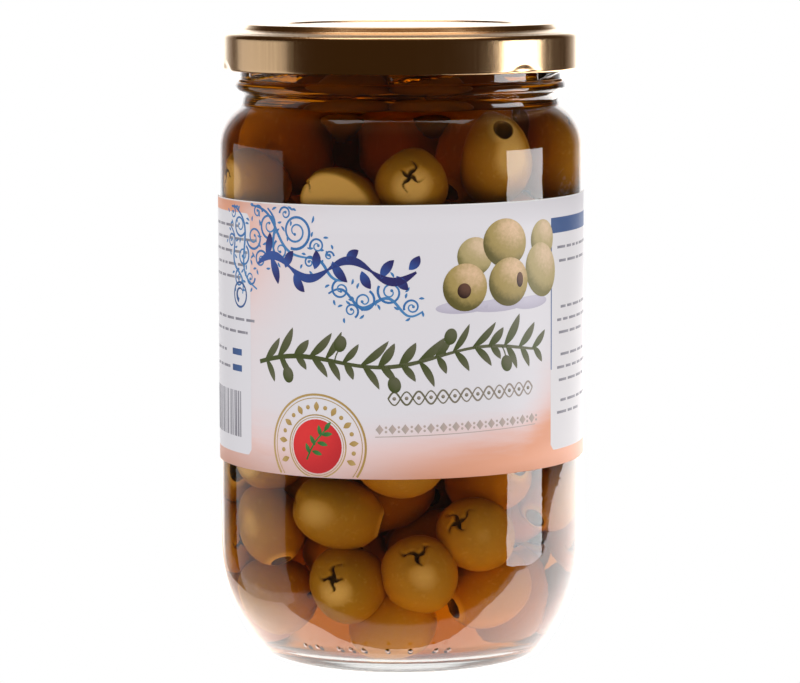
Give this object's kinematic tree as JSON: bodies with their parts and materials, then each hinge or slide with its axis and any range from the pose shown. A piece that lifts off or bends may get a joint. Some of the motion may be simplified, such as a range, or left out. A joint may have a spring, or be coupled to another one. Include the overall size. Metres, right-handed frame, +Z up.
{
  "type": "jar of olives",
  "caption": "Round glass preserving jar with a gold twist-off metal cap and a wrap-round paper label, filled with pitted green olives in amber brine.",
  "frame": {"origin": "centre of the flat ring the jar stands on, at the height of that ring", "axes": "+Z up along the jar's axis, -Y towards the front of the label, +X to the right seen from the front"},
  "size_m": [0.0872, 0.0872, 0.1503],
  "materials": {
    "glass": "clear, polished",
    "cap_metal": "gold lacquer, satin",
    "label_paper": "coated paper, semi-gloss",
    "brine": "clear amber liquid with green olives"
  },
  "bodies": {
    "root": {"glass_jar": "glass", "lid": "cap_metal", "label": "label_paper", "contents": "brine"}
  },
  "joints": []
}
